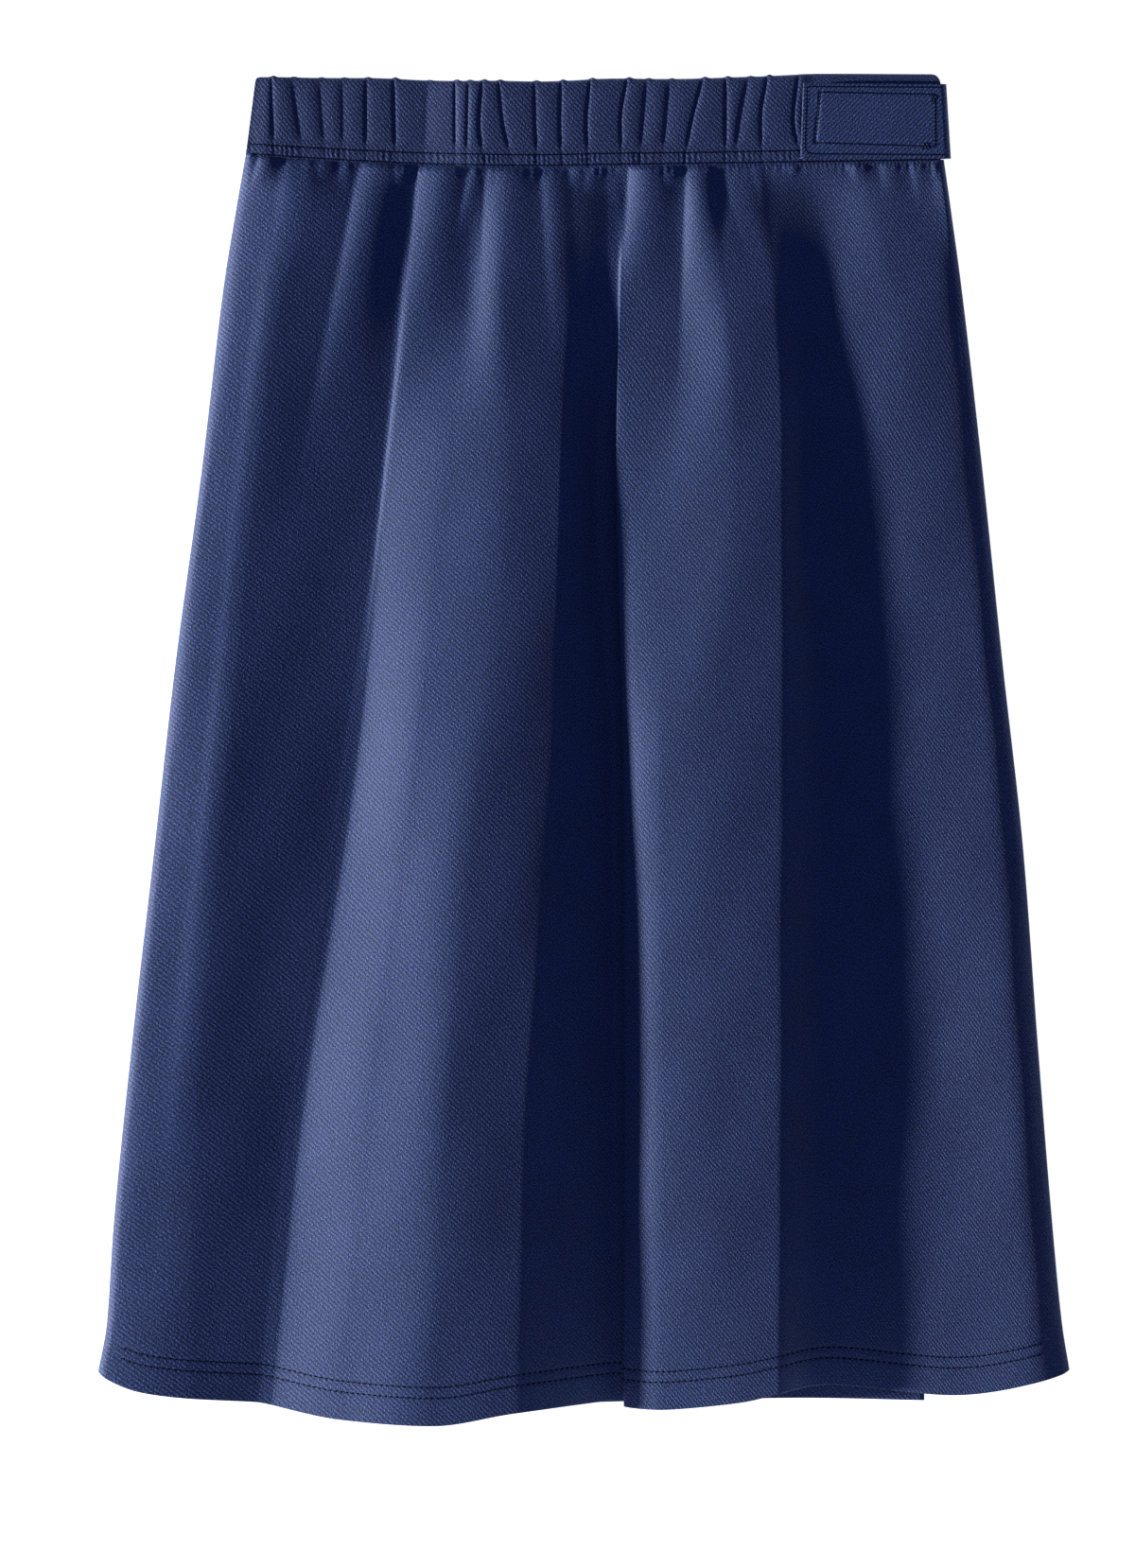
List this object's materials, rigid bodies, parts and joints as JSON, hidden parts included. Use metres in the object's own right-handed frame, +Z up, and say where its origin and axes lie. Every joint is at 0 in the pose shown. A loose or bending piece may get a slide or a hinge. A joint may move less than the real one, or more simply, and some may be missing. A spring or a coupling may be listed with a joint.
{
  "type": "wrap skirt, laid flat",
  "caption": "Knee-length back-wrap skirt of navy twill knit, laid flat: gathered elastic waistband, hip tab with hook tape, soft folds down the front.",
  "frame": {"origin": "middle of the laid skirt's footprint, on the surface it lies on", "axes": "+X toward the wearer's left hip, +Y from the hem to the waist, +Z up, out of the front"},
  "size_m": [0.5216, 0.7252, 0.029],
  "materials": {
    "navy_cloth": "matt double-knit twill with a slight sheen on its ribs",
    "fastening_tape": "nylon hook and loop tape, dark navy"
  },
  "bodies": {
    "root": {"front_panel": "navy_cloth", "front_waistband": "navy_cloth", "back_outer_panel": "navy_cloth", "back_outer_waistband": "navy_cloth", "back_inner_panel": "navy_cloth", "back_inner_waistband": "navy_cloth", "hip_tab": "navy_cloth", "tab_hook_tape": "fastening_tape", "waistband_loop_tape": "fastening_tape"}
  },
  "joints": []
}
